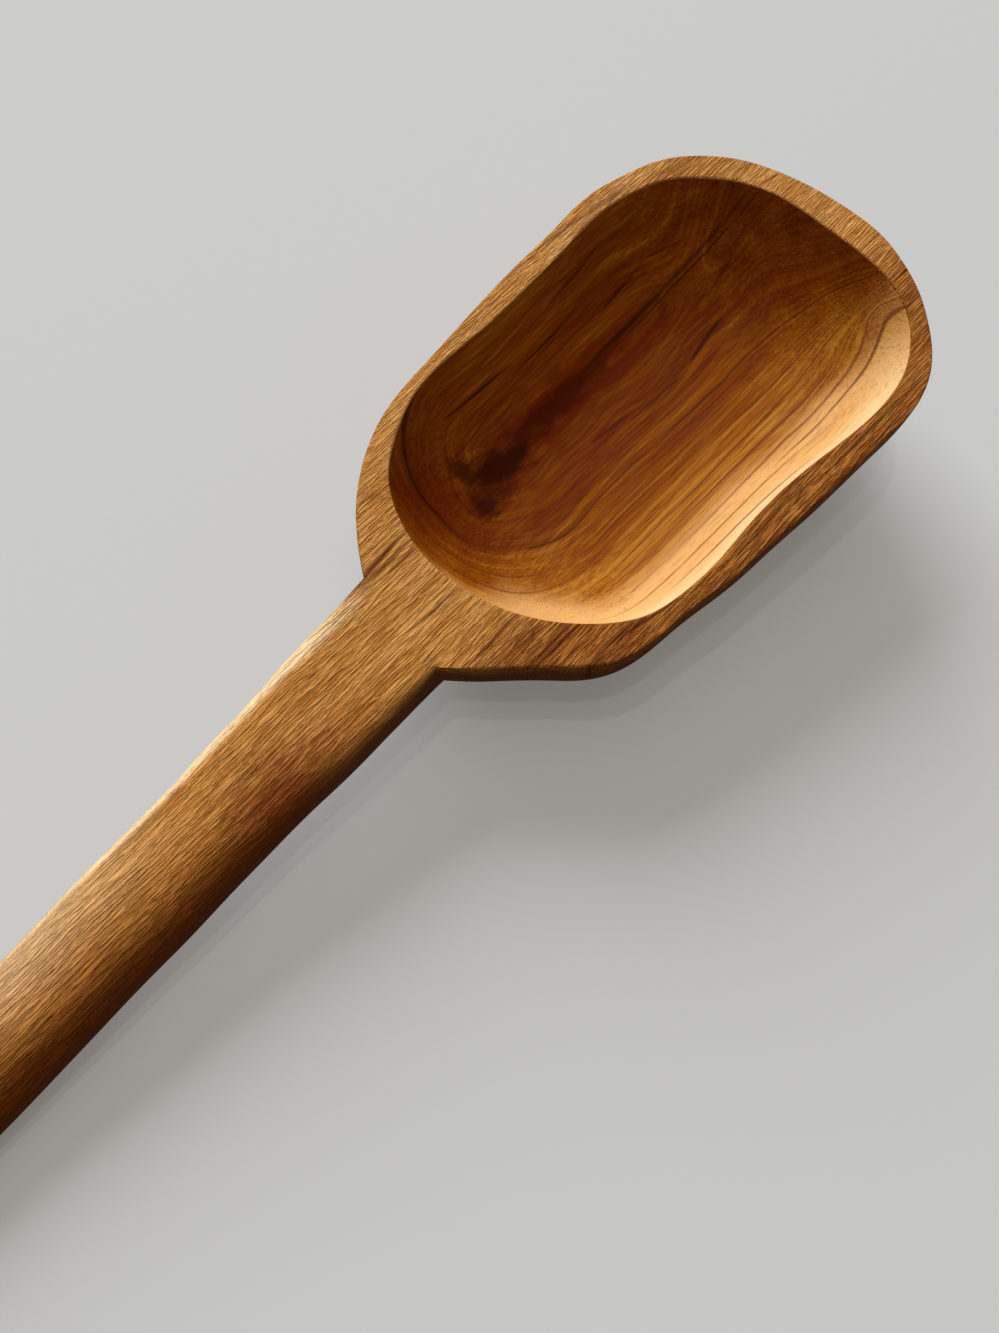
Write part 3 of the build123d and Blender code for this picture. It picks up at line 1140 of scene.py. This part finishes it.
    def spot(self, sheet: Sheet, kit: GrainKit) -> Spot:
        """Read the place on the piece, in the rim's plane and pushed a little to bend the grain.

        Args:
            sheet: The material's sheet.
            kit: The shared effects.

        Returns:
            The readings.
        """
        shift, turn = self.lie.from_row()
        inputs = {"Vector": sheet.take("TexCoord", {}, "Object"), "Location": shift, "Rotation": turn,
                  "Scale": (1 / MM,) * 3}
        place = sheet.take("Mapping", inputs)
        push = sheet.vector("SUBTRACT", sheet.noise(place, self.wander, "Color"), (0.5, 0.5, 0.5))
        push = sheet.vector("MULTIPLY", push, (0.0, self.wander_width, self.wander_width))
        place = sheet.vector("ADD", place, push)
        along, left, up = (Wire(sheet, part) for part in sheet.node("SeparateXYZ", {0: place}).outputs)
        hollow = sheet.take("Attribute", {}, "Fac", attribute_name="hollow")
        layer = sheet.take("Attribute", {}, "Fac", attribute_name="layer")
        fibre = sheet.placed(kit.fibre, place)
        return Spot(sheet, place, along, left * -1.0, up * -1.0, hollow, layer, fibre)

    def outside(self, spot: Spot) -> Wire:
        """Return the outside's colour: pale wood, darker heart, and painted shade and highlights.

        Args:
            spot: The readings.

        Returns:
            The colour.
        """
        sheet, fibre = spot.sheet, spot.fibre
        tone = fibre["Broad"] * self.top_mix[0] + fibre["Fine"] * self.top_mix[1]
        tone = tone + fibre["Ridges"].spread(*self.ridge_tone)
        bend = spot.along.spread(*self.heart_bend) + (fibre["Broad"] - 0.5) * self.heart_wander
        right = (spot.across + bend).spread(*self.heart_edge)
        # The side walls: partly deeper oiled wood, partly painted shade.
        sides = spot.within(self.sides)
        drift = spot.across - spot.along.spread(*self.handle_drift)
        # Painted highlights on the handle's left arris and on the left of its tail.
        pale = sheet.most(spot.within(self.arris, drift), spot.within(self.painted_tail_highlight, drift))
        return sheet.coated(
            sheet.shades(tone, self.top_shades),
            (sheet.most(right, sides) * self.heart_cover, sheet.shades(tone, self.heart_shades)),
            # Painted shade on the side walls and on the handle's right half.
            (sides * self.painted_side_shade, self.painted_shade_brown),
            (spot.within(self.painted_handle_shade, drift), self.painted_shade_brown),
            # Painted highlights on the handle's left arris and tail, and under the bowl's left rim.
            (pale, self.edge),
            (spot.within(self.painted_brim_highlight), self.edge),
        )

    def inside(self, spot: Spot) -> Wire:
        """Return the hollow's colour: brown bands, amber foot and heel, pale lip, and painted light and
        shade.

        Args:
            spot: The readings.

        Returns:
            The colour.
        """
        sheet, fibre = spot.sheet, spot.fibre
        flow = sheet.take("CombineXYZ", {0: spot.along * self.band_stretch, 1: spot.layer, 2: 0.0})
        shares = self.hollow_mix
        tone = sheet.noise(flow, self.bands) * shares[0]
        tone = tone + (fibre["Broad"] * shares[1] + fibre["Fine"] * shares[2])
        # Painted light on the right and left walls, and painted shade at the heel.
        tone = tone + spot.layer.spread(*self.layer_tone) + spot.within(self.painted_light_right_wall)
        tone = tone + spot.within(self.painted_light_left_wall) - spot.within(self.heel)
        streaky = tone.spread(*self.streaks)
        foot = spot.within(self.foot, spot.across - spot.along.spread(*self.foot_drift))
        return sheet.coated(
            sheet.shades(tone, self.hollow_shades),
            (sheet.math("MULTIPLY", foot, streaky, clamp=True), self.amber),
            # Pale lip: partly sapwood, partly painted highlight.
            (sheet.math("MULTIPLY", spot.within(self.lip), streaky, clamp=True), self.sapwood_and_highlight),
            (sheet.most(spot.within(self.heel_rise), spot.within(self.heel_rim)), self.amber),
        )

    def marks(self, spot: Spot, kit: GrainKit) -> dict[Tone, Wire]:
        """Place the lines, the knot and the red haze.

        Args:
            spot: The readings.
            kit: The shared effects.

        Returns:
            How much of each shade shows.
        """
        sheet = spot.sheet
        plan = sheet.take("CombineXYZ", {0: spot.along, 1: spot.across, 2: 0.0})
        ragged = (sheet.noise(plan, self.blot_edge) - 0.5) * self.blot_raggedness
        broken, faded = sheet.noise(plan, self.breaks), sheet.noise(plan, self.fades)
        leaning = spot.across + (spot.depth - self.lean_depth) * self.lean
        across = {Side.RINGS: spot.layer, Side.HOLLOW: leaning, Side.TOP: spot.across}
        limits = {Side.RINGS: spot.hollow, Side.HOLLOW: spot.hollow, Side.TOP: 1.0 - spot.hollow}
        worn = {Side.RINGS: faded, Side.HOLLOW: broken, Side.TOP: broken}
        found: dict[Tone, list[Wire]] = {tone: [] for tone in Tone}
        for side, tone, rows in LINES:
            masks = [sheet.placed(kit.line, spot.along, across[side], *row)["Mask"] for row in rows]
            found[tone].append(sheet.most(*masks) * limits[side] * worn[side])
        for side, tone, softness, rows in BLOTS:
            lead = (spot.along, spot.across, ragged, softness)
            masks = [sheet.placed(kit.blot, *lead, *row)["Mask"] for row in rows]
            found[tone].append(sheet.most(*masks) * limits[side])
        return {tone: sheet.most(*masks) for tone, masks in found.items()}

    def relief(self, spot: Spot, kit: GrainKit, marks: dict[Tone, Wire]) -> Wire:
        """Raise the grain: strong fuzzy ridges outside, fine fibres and scraper's scratches in the hollow.

        Args:
            spot: The readings.
            kit: The shared effects.
            marks: How much of each shade shows.

        Returns:
            The normal.
        """
        fibre = spot.fibre
        scratches = spot.sheet.placed(kit.scratch, spot.place)["Mask"]
        height = fibre["Ridges"] * spot.by_side(*self.ridge_relief)
        height = height + fibre["Fine"] * spot.by_side(*self.fine_relief)
        height = height + scratches * (spot.along.spread(*self.scratched) * spot.hollow)
        height = height - marks[Tone.DARK] * self.line_groove - fibre["Pores"] * self.pore_depth
        return spot.sheet.take("Bump", {"Strength": 1.0, "Distance": self.relief_height, "Height": height})


@dataclass(frozen=True)
class PaleTable:
    """The plain table top: a smooth sheet, pale to the camera, dimmer in the light that it throws back."""

    colour: Colour = (0.352, 0.358, 0.358)
    dim_colour: Colour = (0.2, 0.19, 0.17)
    glow: Colour = (1, 0.96, 0.88)
    glow_strength: float = 0.17
    roughness: float = 0.5
    size: float = 4.0

    def build(self) -> bpy.types.Object:
        """Make the table.

        Returns:
            The table.
        """
        half = self.size / 2
        mesh = bpy.data.meshes.new("table")
        corners = [(-half, -half, 0), (half, -half, 0), (half, half, 0), (-half, half, 0)]
        mesh.from_pydata(corners, [], [(0, 1, 2, 3)])
        mesh.materials.append(self.material())
        table = added("table", mesh)
        return table

    def material(self) -> bpy.types.Material:
        """Build the table's finish, which is clear from below.

        Returns:
            The material.
        """
        material = bpy.data.materials.new("pale_table")
        material.use_nodes = True
        sheet, nodes = Sheet(material.node_tree), material.node_tree.nodes
        shader = nodes["Principled BSDF"]
        seen = sheet.seen_or_mirrored()
        for name, value in (
            ("Base Color", sheet.coated(self.dim_colour, (seen, self.colour))),
            ("Roughness", self.roughness),
            ("Specular IOR Level", 0.0),
            ("Emission Color", self.glow),
            ("Emission Strength", seen * self.glow_strength),
        ):
            sheet.put(shader.inputs[name], value)
        below = sheet.take("NewGeometry", {}, "Backfacing")
        clear = sheet.take("BsdfTransparent", {})
        both = sheet.take("MixShader", {0: below, 1: Wire(sheet, shader.outputs[0]), 2: clear})
        sheet.put(nodes["Material Output"].inputs["Surface"], both)
        return material


@dataclass(frozen=True)
class Lamp:
    """A square soft lamp that faces the bowl.

    Its bearing is a way over the table from the aim, its elevation in degrees, its distance and size in
    metres, and its power in watts.
    """

    name: str
    bearing: tuple[float, float]
    elevation: float
    distance: float
    size: float
    power: float
    colour: Colour
    reflected: bool = False
    aim: Row = (0.04, 0, 0.01)

    def place(self) -> bpy.types.Object:
        """Add the lamp.

        Returns:
            The lamp.
        """
        data = bpy.data.lights.new(self.name, "AREA")
        data.size, data.energy, data.color = self.size, self.power, self.colour
        rise = np.radians(self.elevation)
        level = np.array(self.bearing) / np.hypot(*self.bearing)
        away = np.array([*(level * np.cos(rise)), np.sin(rise)])
        lamp = added(self.name, data)
        lamp.location = np.array(self.aim) + away * self.distance
        lamp.rotation_euler = Vector(away).to_track_quat("Z", "Y").to_euler()
        lamp.visible_glossy = self.reflected
        return lamp


@dataclass(frozen=True)
class Studio:
    """The lamps, the room's light and the camera.

    The camera's place is measured from the rim, like the spoon, and its tilt is off straight down.
    """

    lie: Lie = field(default_factory=Lie)
    fill: Colour = (0.15, 0.135, 0.114)
    backdrop: Colour = (0.62, 0.62, 0.61)
    lamps: tuple[Lamp, ...] = (
        Lamp("window", (0.4, 0.92), 28, 6, 3.8, 640, (0.97, 1, 1.04), True),
        Lamp("ceiling", (0.1, 0.9), 80, 2.5, 2, 13, (1, 0.96, 0.9)),
        Lamp("left_spot", (-0.5, 0.52), 80, 1.4, 0.04, 1.6, (1, 0.97, 0.93)),
        Lamp("low_spot", (-0.72, -0.05), 76, 1.4, 0.04, 1.4, (1, 0.97, 0.93)),
    )
    camera_place: Row = (-28.26, 46.31, -128.78)
    camera_right: Row = (0.67786, -0.73519, 0)
    camera_tilt: float = 20.0
    lens: float = 26.0
    sensor_width: float = 36.0
    clip_start: float = 0.005

    def camera(self) -> bpy.types.Object:
        """Place the camera over the shoulder of the bowl, and make it the scene's.

        Returns:
            The camera.
        """
        right = np.array(self.camera_right)
        far = np.array([-right[1], right[0], 0.0])
        tilt = np.radians(self.camera_tilt)
        up = np.cos(tilt) * far + np.sin(tilt) * np.array([0, 0, 1])
        matrix = np.eye(4)
        matrix[:3, :3] = (np.stack([right, up, np.cross(right, up)]) @ self.lie.axes()).T
        matrix[:3, 3] = self.lie.to_row(np.array(self.camera_place))
        data = bpy.data.cameras.new("camera")
        data.lens, data.sensor_width, data.clip_start = self.lens, self.sensor_width, self.clip_start
        camera = bpy.context.scene.camera = added("camera", data)
        camera.matrix_world = Matrix(matrix)
        return camera

    def light(self) -> None:
        """Place the lamps and set the room's even light."""
        for lamp in self.lamps:
            lamp.place()
        world = bpy.data.worlds.new("room")
        world.use_nodes = True
        sheet = Sheet(world.node_tree)
        colour = sheet.coated(self.fill, (sheet.seen_or_mirrored(), self.backdrop))
        sheet.put(world.node_tree.nodes["Background"].inputs["Color"], colour)
        bpy.context.scene.world = world
        bpy.context.scene.view_settings.view_transform = "Standard"


def main() -> None:
    """Load the frame, dress it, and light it."""
    logging.basicConfig(level=logging.INFO)
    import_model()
    spoon = CarvedSpoon().build()
    spoon.data.materials.append(OiledWood().material(GrainKit()))
    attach(spoon, "root")
    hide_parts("spoon")
    log.info("carved_spoon: %d faces", len(spoon.data.polygons))
    table = PaleTable().build()
    log.info("%s: %d faces", table.name, len(table.data.polygons))
    studio = Studio()
    studio.light()
    camera = studio.camera()
    log.info("%d lamps and %s", len(studio.lamps), camera.name)


if __name__ == "__main__":
    main()
